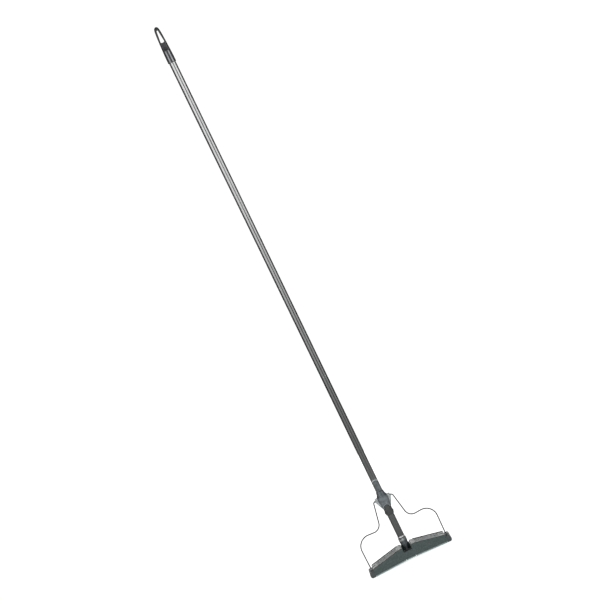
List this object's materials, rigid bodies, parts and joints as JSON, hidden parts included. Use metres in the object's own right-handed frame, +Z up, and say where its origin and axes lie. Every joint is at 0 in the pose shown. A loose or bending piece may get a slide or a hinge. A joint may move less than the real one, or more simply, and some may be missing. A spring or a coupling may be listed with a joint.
{
  "type": "flat mop",
  "caption": "Flat mop: tubular handle with hang loop, tilting head of two hinged wings, sliding yoke and bent brace wires that fold the wings up.",
  "frame": {"origin": "bottom centre of the head, in the plane of the hook strips' lowest edges", "axes": "+X along the head to its right end seen from the front, -Y towards the front, +Z up the handle"},
  "size_m": [0.2406, 0.07, 1.5769],
  "materials": {
    "upper_tube": "bright drawn tube, fading to dark grey at its lower end",
    "lower_tube": "dark grey satin coating",
    "steel": "zinc-plated",
    "brace_wire": "drawn spring wire",
    "hang_cap": "fine moulded satin",
    "dark_plastic": "moulded satin",
    "blue_grey_plastic": "semi-gloss moulding",
    "light_plastic": "semi-gloss moulding",
    "head_plastic": "fine grained moulding",
    "hook_strip": "hook tape on a foam strip"
  },
  "bodies": {
    "shaft": {"hang_cap": "hang_cap", "upper_tube": "upper_tube", "joint_ferrule": "blue_grey_plastic", "lower_tube": "lower_tube", "latch_sleeve": "dark_plastic", "sleeve_screw": "steel", "latch_spring": "steel", "collar_ring": "light_plastic", "knuckle": "blue_grey_plastic", "knuckle_eyelet": "light_plastic"},
    "slider": {"slide_yoke": "blue_grey_plastic", "wire_pin_left": "steel", "wire_pin_right": "steel"},
    "button_left": {"latch_button_left": "dark_plastic"},
    "button_right": {"latch_button_right": "dark_plastic"},
    "hub": {"hub_block": "head_plastic", "hub_strip": "hook_strip", "tilt_pin": "steel", "hinge_pin_left": "steel", "hinge_pin_right": "steel"},
    "brace_left": {"brace_wire_left": "brace_wire", "wire_trunnion_left": "light_plastic", "foot_ball_left": "light_plastic"},
    "wing_left": {"wing_shell_left": "head_plastic", "base_plate_left": "head_plastic", "wing_strip_left": "hook_strip", "end_cap_left": "dark_plastic", "foot_keeper_left": "light_plastic", "inner_screw_left": "steel", "outer_screw_left": "steel", "front_end_screw_left": "steel", "back_end_screw_left": "steel"},
    "brace_right": {"brace_wire_right": "brace_wire", "wire_trunnion_right": "light_plastic", "foot_ball_right": "light_plastic"},
    "wing_right": {"wing_shell_right": "head_plastic", "base_plate_right": "head_plastic", "wing_strip_right": "hook_strip", "end_cap_right": "dark_plastic", "foot_keeper_right": "light_plastic", "inner_screw_right": "steel", "outer_screw_right": "steel", "front_end_screw_right": "steel", "back_end_screw_right": "steel"}
  },
  "joints": [
    {"name": "yoke_slide", "type": "slide", "parent": "shaft", "child": "slider", "axis": [0, 0, 1], "range_m": [0, 0.08959]},
    {"name": "head_tilt", "type": "hinge", "parent": "shaft", "child": "hub", "pos_m": [0, 0, 0.01871], "axis": [1, 0, 0], "range_deg": [-55, 0]},
    {"name": "wing_fold_right", "type": "hinge", "parent": "hub", "child": "wing_right", "pos_m": [0.0155, 0, 0.03716], "axis": [0, -1, 0], "range_deg": [0, 50.1]},
    {"name": "wing_fold_left", "type": "hinge", "parent": "hub", "child": "wing_left", "pos_m": [-0.0155, 0, 0.03716], "axis": [0, 1, 0], "range_deg": [0, 50.1]},
    {"name": "brace_swing_right", "type": "hinge", "parent": "slider", "child": "brace_right", "pos_m": [0.0195, 0, 0.18], "axis": [0, 1, 0], "range_deg": [0, 6.9]},
    {"name": "brace_swing_left", "type": "hinge", "parent": "slider", "child": "brace_left", "pos_m": [-0.0195, 0, 0.18], "axis": [0, -1, 0], "range_deg": [0, 6.9]},
    {"name": "button_press_right", "type": "slide", "parent": "shaft", "child": "button_right", "axis": [-1, 0, 0], "range_m": [0, 0.002], "stiffness_N_per_m": 600, "springref_m": -0.003},
    {"name": "button_press_left", "type": "slide", "parent": "shaft", "child": "button_left", "axis": [1, 0, 0], "range_m": [0, 0.002], "stiffness_N_per_m": 600, "springref_m": -0.003}
  ],
  "couplings": [
    {"joint": "wing_fold_right", "follows": "yoke_slide", "rad_per_m": 9.7407},
    {"joint": "wing_fold_left", "follows": "yoke_slide", "rad_per_m": 9.7407},
    {"joint": "brace_swing_right", "follows": "yoke_slide", "rad_per_m": 1.3413},
    {"joint": "brace_swing_left", "follows": "yoke_slide", "rad_per_m": 1.3413}
  ]
}
